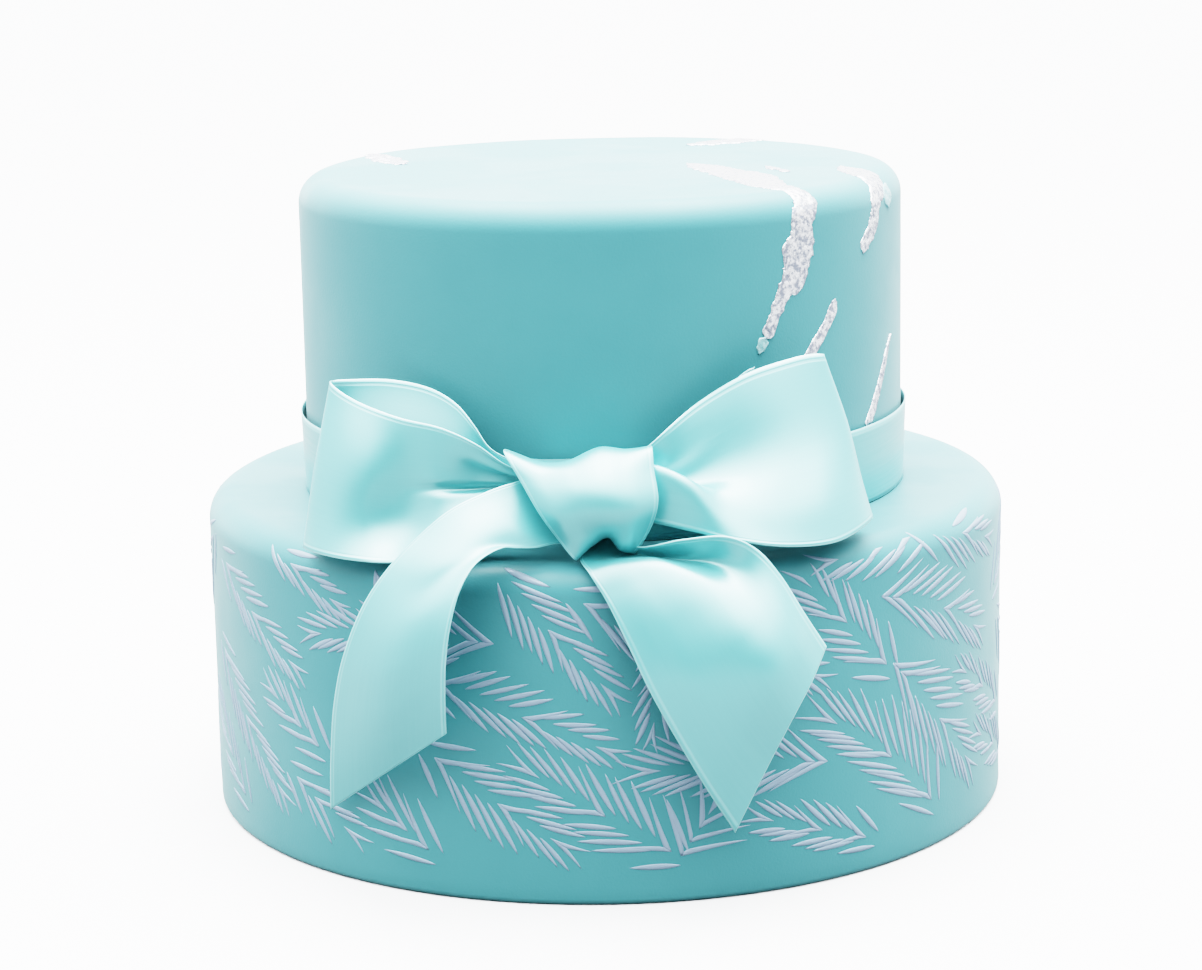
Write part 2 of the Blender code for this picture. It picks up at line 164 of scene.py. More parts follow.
def through(points: Array, samples: Array) -> Array:
    """Smooth curve through points.

    Each stretch is the cubic that meets its two points with slopes read from their
    neighbours, and stretches are spaced by the root of their length.

    Args:
        points: Points of the curve along the first axis, with anything after it.
        samples: Places on the curve, from 0 to 1.

    Returns:
        The curve's points, one for each sample.
    """
    flat = points.reshape(len(points), -1)
    gaps = np.linalg.norm(np.diff(flat, axis=0), axis=1)
    knots = np.concatenate([[0.0], np.cumsum(np.maximum(gaps, 1e-6) ** 0.5)])
    slope = np.gradient(flat, knots, axis=0)
    place = samples * knots[-1]
    i = np.clip(np.searchsorted(knots, place, side="right") - 1, 0, len(flat) - 2)
    span = (knots[i + 1] - knots[i])[:, None]
    t = (place - knots[i])[:, None] / span
    curve = ((2 * t**3 - 3 * t**2 + 1) * flat[i] + (t**3 - 2 * t**2 + t) * span * slope[i]
             + (3 * t**2 - 2 * t**3) * flat[i + 1] + (t**3 - t**2) * span * slope[i + 1])
    return curve.reshape(len(samples), *points.shape[1:])


# Shader building

class Maker:
    """Short way to add and join the nodes of one tree."""

    def __init__(self, tree: Tree) -> None:
        """Keep the tree."""
        self.tree = tree

    def add(self, kind: str, **settings: object) -> Node:
        """Add a node and set its properties."""
        node = self.tree.nodes.new(kind)
        for key, value in settings.items():
            setattr(node, key, value)
        return node

    def put(self, value: object, socket: Socket) -> None:
        """Link a socket to another, or set its value; a colour is given its alpha."""
        if isinstance(value, Socket):
            self.tree.links.new(value, socket)
        elif value is not None:
            is_colour = isinstance(value, tuple) and len(value) == 3
            socket.default_value = (*value, 1.0) if is_colour else value

    def fill(self, node: Node, *values: object) -> Socket:
        """Put values into a node's first inputs; gives its first output."""
        for value, socket in zip(values, node.inputs):
            self.put(value, socket)
        return node.outputs[0]

    def maths(self, operation: str, *values: object) -> Socket:
        """Math node on numbers or sockets; gives its value."""
        return self.fill(self.add("ShaderNodeMath", operation=operation), *values)

    def spread(self, value: object, low: float, high: float, to_low: object = 0.0,
               to_high: object = 1.0) -> Socket:
        """Map a value smoothly from one range to another, clamped; gives the result."""
        node = self.add("ShaderNodeMapRange", interpolation_type="SMOOTHSTEP")
        return self.fill(node, value, low, high, to_low, to_high)

    def blend(self, factor: object, a: object, b: object) -> Socket:
        """Mix two colours by a factor; gives the colour."""
        node = self.add("ShaderNodeMix", data_type="RGBA")
        for value, index in ((factor, 0), (a, 6), (b, 7)):
            self.put(value, node.inputs[index])
        return node.outputs[2]

    def noise(self, vector: Socket, scale: object, detail: float, rough: float = 0.5) -> Socket:
        """Noise texture on a vector; gives its factor."""
        node = self.add("ShaderNodeTexNoise")
        for label, value in (("Vector", vector), ("Scale", scale), ("Detail", detail), ("Roughness", rough)):
            self.put(value, node.inputs[label])
        return node.outputs["Fac"]

    def place(self, kind: str = "Object") -> Socket:
        """Texture coordinates of one kind."""
        return self.add("ShaderNodeTexCoord").outputs[kind]

    def apart(self, vector: Socket) -> Sequence[Socket]:
        """The three parts of a vector."""
        node = self.add("ShaderNodeSeparateXYZ")
        self.put(vector, node.inputs[0])
        return node.outputs

    def seen(self) -> Socket:
        """1 for what the camera sees straight, 0 for what only lights or mirrors."""
        return self.add("ShaderNodeLightPath").outputs["Is Camera Ray"]

    def use(self, tree: Tree, **values: float) -> Sequence[Socket]:
        """Add a node group with values on its inputs; gives its outputs."""
        node = self.add("ShaderNodeGroup", node_tree=tree)
        for label, value in values.items():
            node.inputs[label].default_value = value
        return node.outputs


def new_group(name: str, inputs: dict[str, float],
              outputs: Sequence[str]) -> tuple[Maker, Sequence[Socket], Sequence[Socket]]:
    """Start a node group whose sockets all carry plain numbers.

    Args:
        name: Name of the group.
        inputs: Default of each input.
        outputs: Name of each output.

    Returns:
        The group's maker, the sockets that it is given and the sockets that it fills.
    """
    tree = bpy.data.node_groups.new(name, "ShaderNodeTree")
    for label, default in inputs.items():
        socket = tree.interface.new_socket(name=label, in_out="INPUT", socket_type="NodeSocketFloat")
        socket.default_value = default
    for label in outputs:
        tree.interface.new_socket(name=label, in_out="OUTPUT", socket_type="NodeSocketFloat")
    make = Maker(tree)
    return make, make.add("NodeGroupInput").outputs, make.add("NodeGroupOutput").inputs


def grain_group() -> Tree:
    """Cloudy colour and fine surface grain of something rolled out by hand."""
    make, given, out = new_group(
        "hand_rolled_grain", {"Clouds": 30.0, "Grains": 1500.0}, ("Cloud", "Grain", "Height"))
    place = make.place()
    cloud = make.noise(place, given["Clouds"], 4.0)
    grain = make.noise(place, given["Grains"], 2.0)
    make.put(make.spread(cloud, 0.35, 0.65), out["Cloud"])
    make.put(make.spread(grain, 0.3, 0.7), out["Grain"])
    make.put(make.maths("MULTIPLY_ADD", cloud, 0.6, grain), out["Height"])
    return make.tree


def crumple_group() -> Tree:
    """Creases of thin crushed metal leaf: cell edges over cloudy dents."""
    make, given, out = new_group("crumple", {"Scale": 500.0}, ("Height", "Facet"))
    place = make.place()
    cells = make.add("ShaderNodeTexVoronoi", feature="F1", distance="EUCLIDEAN")
    make.put(place, cells.inputs["Vector"])
    make.put(given["Scale"], cells.inputs["Scale"])
    fine = make.noise(place, make.maths("MULTIPLY", given["Scale"], 1.7), 5.0, 0.65)
    make.put(make.maths("MULTIPLY_ADD", cells.outputs["Distance"], 0.9, fine), out["Height"])
    make.put(make.spread(fine, 0.4, 0.6), out["Facet"])
    return make.tree


def satin_group() -> Tree:
    """Threads and woven edge lines of satin ribbon, with a painted highlight along its free edges, from its
    strip coordinates in millimetres.
    """
    make, given, out = new_group(
        "satin_ribbon", {"Width": 38.0, "Length": UNCUT}, ("Streak", "Edge", "Height"))
    selvedge, threads_per_mm, weft_per_mm = 1.15, 1.6, 18.0
    along, across = make.apart(make.add("ShaderNodeUVMap", uv_map="strip").outputs["UV"])[:2]
    far_side = make.maths("SUBTRACT", given["Width"], across)
    far_end = make.maths("SUBTRACT", given["Length"], along)
    side = make.maths("MINIMUM", across, far_side)
    from_line = make.maths("ABSOLUTE", make.maths("SUBTRACT", side, selvedge))
    line = make.spread(from_line, 0.12, 0.42, 1.0, 0.0)
    # Painted highlight: a pale rim along both sides and the cut end, where the thin edge of the cloth catches
    # light.
    rim = make.spread(make.maths("MINIMUM", side, far_end), 0.15, 0.45, 1.0, 0.0)
    stretch = make.add("ShaderNodeCombineXYZ")
    make.fill(stretch, make.maths("MULTIPLY", along, 0.02), across)
    streak = make.noise(stretch.outputs[0], threads_per_mm, 4.0, 0.6)
    weft = make.maths("SINE", make.maths("MULTIPLY", along, weft_per_mm))
    make.put(make.spread(streak, 0.3, 0.7), out["Streak"])
    # The woven line is the ribbon's own colour; the pale rim is painted highlight.
    pale_line, painted_edge_highlight = make.maths("MULTIPLY", line, 0.4), make.maths("MULTIPLY", rim, 0.8)
    make.put(make.maths("MAXIMUM", pale_line, painted_edge_highlight), out["Edge"])
    height = make.maths("MULTIPLY_ADD", weft, 0.03, make.maths("MULTIPLY", streak, 0.12))
    height = make.maths("MULTIPLY_ADD", line, -0.6, height)
    make.put(make.maths("MULTIPLY_ADD", rim, 0.5, height), out["Height"])
    return make.tree


@dataclass(frozen=True)
class Finish:
    """What every finish has: a name, a colour and constant shader values.

    Attributes:
        name: Name of the material.
        colour: Linear base colour.
        constants: Values set straight on the shader's sockets.
    """

    name: str
    colour: Colour
    constants: dict[str, object] = field(default_factory=dict)

    def start(self) -> tuple[Material, Maker, Node]:
        """Make the material with its shader.

        Returns:
            The material, the maker of its nodes and its Principled shader.
        """
        material = bpy.data.materials.new(self.name)
        material.use_nodes = True
        material.diffuse_color = (*self.colour, 1.0)
        make = Maker(material.node_tree)
        shader = material.node_tree.nodes["Principled BSDF"]
        shader.inputs["Base Color"].default_value = (*self.colour, 1.0)
        for socket, value in self.constants.items():
            shader.inputs[socket].default_value = value
        return material, make, shader

    def bump(self, make: Maker, shader: Node, height: Socket, distance: float,
             strength: float) -> None:
        """Feed a height to the shader's normal, its distance in metres."""
        node = make.add("ShaderNodeBump")
        for label, value in (("Distance", distance), ("Strength", strength), ("Height", height)):
            make.put(value, node.inputs[label])
        make.put(node.outputs["Normal"], shader.inputs["Normal"])


@dataclass(frozen=True)
class PasteFinish(Finish):
    """Sugar paste: soft satin, faintly cloudy, with a very fine grain.

    Attributes:
        deep: Colour of the denser patches.
        rough: Lowest and highest roughness.
    """

    deep: Colour = (0.1, 0.45, 0.5)
    rough: tuple[float, float] = (0.40, 0.50)

    def material(self, grain: Tree) -> Material:
        """Build the material on the shared grain group."""
        material, make, shader = self.start()
        cloud, fine, height = make.use(grain, Clouds=26.0, Grains=1700.0)
        tone = make.blend(make.maths("MULTIPLY", cloud, 0.55), self.colour, self.deep)
        tone = make.blend(make.maths("MULTIPLY", fine, 0.12), tone, self.deep)
        make.put(tone, shader.inputs["Base Color"])
        make.put(make.spread(cloud, 0.0, 1.0, *self.rough), shader.inputs["Roughness"])
        self.bump(make, shader, height, 0.00006, 0.5)
        return material


@dataclass(frozen=True)
class PearlFinish(Finish):
    """Pearl-dusted stencil icing: lilac grey with a metallic shimmer and uneven cover."""

    shadow: Colour = (0.3, 0.4, 0.5)

    def material(self, grain: Tree) -> Material:
        """Build the material on the shared grain group."""
        material, make, shader = self.start()
        cloud, fine, height = make.use(grain, Clouds=160.0, Grains=2600.0)
        thin = make.maths("MULTIPLY", make.maths("MULTIPLY", cloud, fine), 0.5)
        make.put(make.blend(thin, self.colour, self.shadow), shader.inputs["Base Color"])
        make.put(make.spread(fine, 0.0, 1.0, 0.3, 0.55), shader.inputs["Roughness"])
        self.bump(make, shader, height, 0.00008, 0.6)
        return material


@dataclass(frozen=True)
class LeafFinish(Finish):
    """Real silver leaf: bright crushed metal with duller folds."""

    tarnish: Colour = (0.5, 0.52, 0.56)

    def material(self, crumple: Tree) -> Material:
        """Build the material on the crumple group."""
        material, make, shader = self.start()
        height, facet = make.use(crumple, Scale=520.0)
        make.put(make.blend(facet, self.tarnish, self.colour), shader.inputs["Base Color"])
        make.put(make.spread(facet, 0.0, 1.0, 0.42, 0.2), shader.inputs["Roughness"])
        self.bump(make, shader, height, 0.0003, 0.7)
        return material


@dataclass(frozen=True)
class SatinFinish(Finish):
    """Satin ribbon: silky, with lengthwise threads, a woven edge line and a painted highlight along its free
    edges.

    Attributes:
        width: Width of the ribbon in millimetres, where its far edge lies.
        length: Distance along the strip of its cut end.
        deep: Colour between the threads.
        edge: Colour of the woven edge line, and of the painted highlight along the free edges.
    """

    width: float = 38.0
    length: float = UNCUT
    deep: Colour = (0.3, 0.62, 0.65)
    edge: Colour = (0.75, 0.92, 0.93)

    def material(self, satin: Tree) -> Material:
        """Build the material on the satin group."""
        material, make, shader = self.start()
        streak, edge, height = make.use(satin, Width=self.width, Length=self.length)
        tone = make.blend(make.maths("MULTIPLY", streak, 0.35), self.colour, self.deep)
        # Pales the woven edge line and paints a highlight along the free edges.
        tone = make.blend(edge, tone, self.edge)
        make.put(tone, shader.inputs["Base Color"])
        make.put(make.spread(streak, 0.0, 1.0, 0.32, 0.38), shader.inputs["Roughness"])
        self.bump(make, shader, height, 0.00012, 0.5)
        return material


# Tiers

@dataclass(frozen=True)
class Tier:
    """One round tier under sugar paste.

    Attributes:
        node: The plain solid that it stands for.
        radius: Radius of the wall.
        height: Height of the tier.
        base: Height of its underside.
        edge: Radius of the soft top edge.
        foot: Radius of the small rounding at the bottom.
        phase: Turns the faint unevenness, so that no two tiers match.
    """

    node: str
    radius: float
    height: float
    base: float
    edge: float = 7.0
    foot: float = 1.6
    phase: float = 0.0

    @property
    def wall_top(self) -> float:
        """Height where the straight wall meets the soft edge."""
        return self.base + self.height - self.edge

    @property
    def arc(self) -> float:
        """Length of the soft edge, measured down the outline."""
        return 0.5 * math.pi * self.edge

    def local_radius(self, down: Array) -> Array:
        """Distance from the axis of a point at a distance down the outline."""
        turn = np.clip(-down / self.edge, 0.0, 0.5 * math.pi)
        return self.radius - self.edge + self.edge * np.cos(turn) - np.maximum(-down - self.arc, 0.0)

    def unevenness(self, azimuth: Array, down: Array) -> Array:
        """How far the paste lies off the true outline.

        Three slow waves round the tier, drifting with the distance down, fade out toward
        the middle of the top and the foot.
        """
        fade_top, fade_foot = 30.0, 4.0
        wave = (0.10 * np.sin(3 * azimuth + self.phase) + 0.07 * np.sin(5 * azimuth - 0.02 * down)
                + 0.04 * np.sin(11 * azimuth + 0.05 * down + self.phase))
        top = np.clip((down + self.arc + fade_top) / fade_top, 0.0, 1.0)
        low = np.clip((self.height - self.edge - self.foot - down) / fade_foot, 0.0, 1.0)
        return wave * top * low

    def place(self, azimuth: Array, down: Array, lift: Array | float) -> Array:
        """Point on the tier.

        Down is 0 where the straight wall begins. It grows down the wall, and below 0 it
        runs over the quarter-round edge and in across the flat top. The point is then
        moved off the surface by the lift, along the outline's normal.

        Args:
            azimuth: Direction in radians; 0 faces the bow.
            down: Distance down the outline.
            lift: Distance off the surface.

        Returns:
            Points in millimetres.
        """
        azimuth, down, lift = np.broadcast_arrays(azimuth, down, lift)
        turn = np.clip(-down / self.edge, 0.0, 0.5 * math.pi)
        out_r, out_z = np.cos(turn), np.sin(turn)
        lift = lift + self.unevenness(azimuth, down)
        z = self.wall_top + self.edge * out_z - np.maximum(down, 0.0) + lift * out_z
        return polar(self.local_radius(down) + lift * out_r, azimuth, z)

    def on_wall(self, arc: Array, z: Array, lift: Array | float) -> Array:
        """Point at a distance round the wall and a height, climbing onto the soft edge."""
        over = np.clip((z - self.wall_top) / self.edge, 0.0, 0.995)
        down = np.where(z <= self.wall_top, self.wall_top - z, -self.edge * np.arcsin(over))
        return self.place(np.asarray(arc) / self.radius, down, lift)

    def build(self, material: Material, around: int = 320) -> Piece:
        """Make the tier as its outline turned about the axis, closed at both middles."""
        hub = 2.0
        inward = [self.radius - self.edge - hub, 50.0, 35.0, 22.0, 12.0, 5.0, 1.5]
        top_flat = -self.arc - np.array(inward)
        edge = np.linspace(-self.arc, 0.0, 17)
        wall_end = self.height - self.edge - self.foot
        wall = np.linspace(0.0, wall_end, 27)[1:]
        down = np.concatenate([top_flat, edge, wall])
        azimuth = np.linspace(0.0, TAU, around, endpoint=False)
        rings = self.place(azimuth[None, :], down[:, None], 0.0)
        turn = np.linspace(0.0, 0.5 * math.pi, 7)[1:, None]
        inset = np.concatenate([self.foot * (1.0 - np.cos(turn)), np.array([[30.0], [self.radius - hub]])])
        rise = np.concatenate([self.foot * (1.0 - np.sin(turn)), np.zeros((2, 1))])
        grid = np.concatenate([rings, polar(self.radius - inset, azimuth, self.base + rise)])
        rows = len(grid)
        ends = np.array([[0.0, 0.0, self.base + self.height], [0.0, 0.0, self.base]])
        points = np.concatenate([grid.reshape(-1, 3), ends])
        first = np.arange(around)
        crown = fan(first, rows * around)
        sole = fan((rows - 1) * around + first, rows * around + 1, flip=True)
        body = grid_quads(rows, around, ring=True)
        return new_piece(self.node + "_paste", points, [body, crown, sole], material)


# Fern fronds

@dataclass(frozen=True)
class Frond:
    """One frond of the stencil, placed on the wall unrolled flat.

    Attributes:
        base: Distance round the wall and height of its base.
        tip: The same of its tip.
        reach: Length of its longest barbs.
        left: Angle in degrees between the stem and the barbs on its left, at the base.
        right: The same on its right.
        curve: How far the middle of the stem bows to its left.
        lead: Whether a pair of barbs stands apart before the first chevron.
    """

    base: tuple[float, float]
    tip: tuple[float, float]
    reach: float = 14.0
    left: float = 28.0
    right: float = 28.0
    curve: float = 0.0
    lead: bool = True


# Base, tip, reach, left, right, and where they aren't 0 and True, curve and lead.
FRONDS: tuple[Frond, ...] = tuple(Frond(row[:2], row[2:4], *row[4:]) for row in (
    (-31, 86, 3.5, 49, 13.5, 30, 31), (-27, 64, -84, 59.5, 14, 27, 37, -2, False),
    (-46, 54.5, 3.5, 36.5, 12.5, 37, 27, 1), (-46.5, 37, -7, 12, 15, 30, 34),
    (-42.5, 9.5, -65, 25, 16.5, 29, 31), (-90.8, 24.6, -63, 9.3, 14, 26, 31),
    (-74.8, 30.3, -101, 45, 14, 24, 32), (-131, 49, -90, 13.3, 14, 26, 28),
    (-126, 72, -82, 48.5, 13, 31, 24), (-104, 85, -66, 67.5, 12, 31, 22), (-62, 86, -52, 66, 12, 31, 29),
    (17.2, 11, -25, 36.5, 15.5, 30, 39), (16.2, 11.6, 28.5, 29.5, 16, 49, 49, 0, False),
    (54.5, 30.5, 1.5, 33, 17, 27, 37, -1, False), (69.5, 7.8, 32, 20.5, 13, 21, 30),
    (92.6, 9.8, 47, 44.5, 18.5, 28, 38, -3.2), (75.5, 48.6, 44, 80, 14, 34, 31),
    (75, 51.2, 114.5, 12.5, 17, 38, 28, 0, False), (70.8, 68.5, 121, 47, 17, 37, 27, 2.4, False),
    (88, 80.8, 50, 79, 14, 24, 29), (84, 83.5, 129, 71, 15, 27, 30), (139, 24, 101.5, 44.5, 13, 25, 31),
    (150, 7.5, 112, 25, 14, 25, 31), (-9, 76, 27, 57, 14, 30, 29), (15, 76, 9.3, 38, 12, 29, 30),
    (18, 66, 56, 50, 13, 30, 29), (-112, 8, -142, 34, 14, 30, 30), (-134, 77, -160, 52, 15, 30, 30),
    (-166, 36, -146, 8, 14, 30, 30), (128, 56, 158, 78, 15, 31, 29), (136, 50, 160, 30, 15, 30, 31)))


@dataclass(frozen=True)
class FernStencil:
    """The fern pattern round the lower tier, laid on in pearl icing.

    Attributes:
        tier: The tier that carries it.
        pitch: Distance between barbs along a stem.
        width: Width of a barb at its widest.
        high: How far the icing stands off the paste.
        low: Lowest height that the pattern reaches.
        high_edge: Highest height that the pattern reaches.
        closing: Angle in degrees between stem and barbs at the tip.
        seed: Start of the small irregularities.
    """

    tier: Tier
    pitch: float = 3.65
    width: float = 1.45
    high: float = 0.18
    low: float = 6.0
    high_edge: float = 82.0
    closing: float = 16.0
    seed: int = 11

    def barbs(self, frond: Frond, draw: np.random.Generator) -> Array:
        """Barbs of one frond.

        Barbs leave the stem on both sides and lean toward the tip. They shorten and close
        up along it. The first pair stands apart. The second, the middle and the last pair
        meet in a chevron, and the rest alternate left and right.

        Args:
            frond: The frond.
            draw: Source of the irregularities.

        Returns:
            One row a barb: start along and up the wall, direction, length, width, bend, and
            the slope of its mitre, positive where the chevron closes on its left, or 0.
        """
        base, tip = np.array(frond.base, float), np.array(frond.tip, float)
        length = float(np.linalg.norm(tip - base))
        way = math.atan2(*(tip - base)[::-1])
        tip_room, middle, stagger = 0.62, 0.55, 0.45
        gap, lead_gap = 1.25, 1.8
        stem = length - tip_room * frond.reach
        count = max(3, round(stem / self.pitch))
        i = np.tile(np.arange(count + 1), 2)
        side = np.repeat([1.0, -1.0], count + 1)
        joined = (i == 1) | (i == round(middle * count)) | (i == count) | ((i == 0) & (not frond.lead))
        step = stem / count
        place = i * step + np.where(joined | (side > 0) | (i == 0), 0.0, stagger * step)
        place = np.minimum(place, stem)
        t = place / stem
        share = place / length
        bow = way + np.arctan(4.0 * frond.curve * (1.0 - 2.0 * share) / length)
        opening = np.where(side > 0, frond.left, frond.right)
        spread = self.closing + (opening - self.closing) * (1.0 - t**2.2)
        lean = np.radians(spread + np.where(joined, 0.0, draw.normal(0.0, 1.0, len(i))))
        reach = frond.reach * (1.03 - 0.33 * t**1.8) * (1.0 + draw.normal(0.0, 0.05, len(i)))
        reach *= np.where((i == 0) & frond.lead, 0.88, 1.0)
        wide = self.width * (1.0 - 0.15 * t) * (1.0 + draw.normal(0.0, 0.06, len(i)))
        bend = -side * (0.03 + draw.normal(0.0, 0.012, len(i)))
        along = np.array([math.cos(way), math.sin(way)])
        across = np.array([-along[1], along[0]])
        apart = np.where(joined, 0.0, np.where(i == 0, lead_gap, gap))
        lateral = side * apart + 4.0 * frond.curve * share * (1.0 - share)
        start = base + place[:, None] * along + lateral[:, None] * across
        mitre = np.where(joined, -side * np.tan(lean), 0.0)
        return np.column_stack([start, bow + side * lean, reach, wide, bend, mitre])

    def layout(self) -> Array:
        """All barbs of the front, and the same again half a turn on, inside the pattern's band."""
        draw = np.random.default_rng(self.seed)
        half_turn = math.pi * self.tier.radius
        found = []
        for shift in (0.0, half_turn):
            for frond in FRONDS:
                rows = self.barbs(frond, draw)
                rows[:, 0] += shift
                found.append(rows)
        rows = np.concatenate(found)
        end_z = rows[:, 1] + rows[:, 3] * np.sin(rows[:, 2])
        inside = (np.minimum(rows[:, 1], end_z) > self.low) & (np.maximum(rows[:, 1], end_z) < self.high_edge)
        return rows[inside]

    def build(self, material: Material, stations: int = 11) -> Piece:
        """Make every barb as a low lens carried along a slightly bent line.

        The half width of a lone barb swells and falls to a point at both ends. One in a
        chevron keeps its outer edge on the line, and its inner edge leaves the apex along the
        mitre until it has its full width.
        """
        rows = self.layout()
        u = np.linspace(0.0, 1.0, stations + 2)[None, :] ** 1.15
        s0, z0, way, reach, wide, bend, mitre = (rows[:, k][:, None] for k in range(7))
        lens = np.sin(math.pi * u**0.9) ** 0.75
        arm = np.clip(1.0 - u**1.9, 0.0, 1.0) ** 0.85
        closed = np.minimum(arm * wide, reach * u * np.abs(mitre))
        half = 0.5 * np.where(mitre != 0.0, closed, lens * wide)
        side_step = reach * bend * (4.0 * u * (1.0 - u) * 0.5 + u**2) + np.sign(mitre) * half
        line_s = s0 + reach * u * np.cos(way) - side_step * np.sin(way)
        line_z = z0 + reach * u * np.sin(way) + side_step * np.cos(way)
        section = np.array([(-1.0, -0.15), (-0.78, 0.7), (0.0, 1.0), (0.78, 0.7), (1.0, -0.15), (0.0, -0.8)])
        off, rise = section[:, 0], section[:, 1]
        inner = slice(1, -1)
        across = half[:, inner, None] * off
        s = line_s[:, inner, None] - across * np.sin(way)[..., None]
        z = line_z[:, inner, None] + across * np.cos(way)[..., None]
        swell = np.clip(half[:, inner, None] / (0.5 * self.width), 0.0, 1.0) ** 0.5
        ring = self.tier.on_wall(s, z, self.high * rise * np.where(rise > 0.0, swell, 1.0))
        sunk = -0.02
        points = self.tier.on_wall(line_s[:, [0, -1]], line_z[:, [0, -1]], sunk)
        sides = len(section)
        block = np.concatenate([ring.reshape(len(rows), -1, 3), points], axis=1)
        size = block.shape[1]
        base = (np.arange(len(rows)) * size)[:, None, None]
        body = (grid_quads(stations, sides, ring=True)[None] + base).reshape(-1, 4)
        first = np.arange(sides)
        ends = [fan(first, size - 2), fan((stations - 1) * sides + first, size - 1, flip=True)]
        caps = (np.concatenate(ends)[None] + base).reshape(-1, 3)
        return new_piece("fern_stencil", block.reshape(-1, 3), [body, caps], material)


# Silver leaf

class Leaf(Enum):
    """How thickly a shard of leaf covers the paste."""

    BRIGHT = "bright"
    THIN = "thin"


@dataclass(frozen=True)
class Shard:
    """One torn shard of leaf.

    Attributes:
        stations: Azimuth in degrees, distance down the tier's outline, and half width.
        torn: How ragged its sides are, as a share of the half width.
        leaf: How thickly it covers.
    """

    stations: tuple[Point, ...]
    torn: float = 0.42
    leaf: Leaf = Leaf.BRIGHT


SHARDS: tuple[Shard, ...] = (
    Shard(((92.5, -59, 0.8), (76, -53.5, 4.2), (61, -44.6, 5.6), (53, -36, 6.6), (45.5, -26, 6.2),
           (40.5, -15.5, 3.6), (40.0, -9, 2.6), (40.3, -4.4, 3.9), (39.6, -1.9, 3.6), (38.6, 0.4, 2.9),
           (38.5, 2.8, 3.4), (38.2, 5.2, 4.1), (37.6, 7.2, 4.6), (37.3, 9.2, 4.1), (36.9, 12.4, 4.0),
           (36.1, 14.2, 3.9), (34.6, 15.6, 2.5), (33.3, 18.4, 2.0), (32, 22.8, 1.9), (30.9, 25.8, 1.8),
           (30.2, 27.4, 1.3))),
    Shard(((79.5, -38.5, 0.5), (74, -35.5, 1.3), (71, -33.5, 0.5), (68, -31, 1.2), (66, -29.5, 0.4)), 0.6),
    Shard(((79, -19, 0.9), (73, -15, 3.2), (68, -10.5, 4.4), (65.5, -7, 4.4), (63.8, -4, 3.1),
           (61.8, -1, 2.5), (61.2, 2, 2.3), (60.2, 4.3, 2.6), (58.3, 6.5, 2.3), (56.7, 8.7, 2.0),
           (56.1, 10.7, 0.9))),
    Shard(((69.6, -4.6, 1.5), (68.6, -2.8, 2.6), (68, -1, 3.0), (68, 1.2, 2.6)), 0.25, Leaf.THIN),
    Shard(((30.2, 27.0, 1.3), (29.6, 28.4, 1.4), (28.7, 30.9, 1.1)), 0.2, Leaf.THIN),
    Shard(((47, 20.2, 0.8), (46.6, 22.6, 1.6), (44.2, 27.2, 1.5), (41, 31.8, 1.6), (38, 36.5, 1.6)), 0.16),
    Shard(((69.6, 33.6, 0.3), (67.1, 37.9, 0.9), (64.3, 43.6, 1.3), (61.2, 49.2, 1.6), (57.4, 55.6, 2.0)),
          0.14),
    Shard(((27.8, 33.8, 0.3), (26.4, 35.9, 1.3), (24.7, 37.7, 1.5), (22, 40, 0.6)), 0.2, Leaf.THIN),
    Shard(((-121, -9, 1.2), (-118.5, -14, 3.0), (-114, -20, 3.8), (-109, -25, 3.0), (-104, -29, 1.0))),
    Shard(((152, -30, 1.2), (147, -20, 4.4), (144, -10, 4.6), (142.5, -2, 3.8), (140.5, 5, 3.4),
           (137.5, 12, 2.6), (134.5, 19, 1.8), (133, 22, 0.9))),
    Shard(((-97, -3, 0.7), (-98.5, 2, 2.0), (-101, 8, 1.8), (-103.5, 13, 0.9)), 0.2),
    Shard(((172, 14, 0.8), (169, 20, 1.6), (165, 28, 1.5), (162.5, 34, 0.9)), 0.16),
    Shard(((-158, 29, 0.6), (-161, 36, 1.5), (-165, 43, 1.5), (-167.5, 49, 0.8)), 0.16),
)


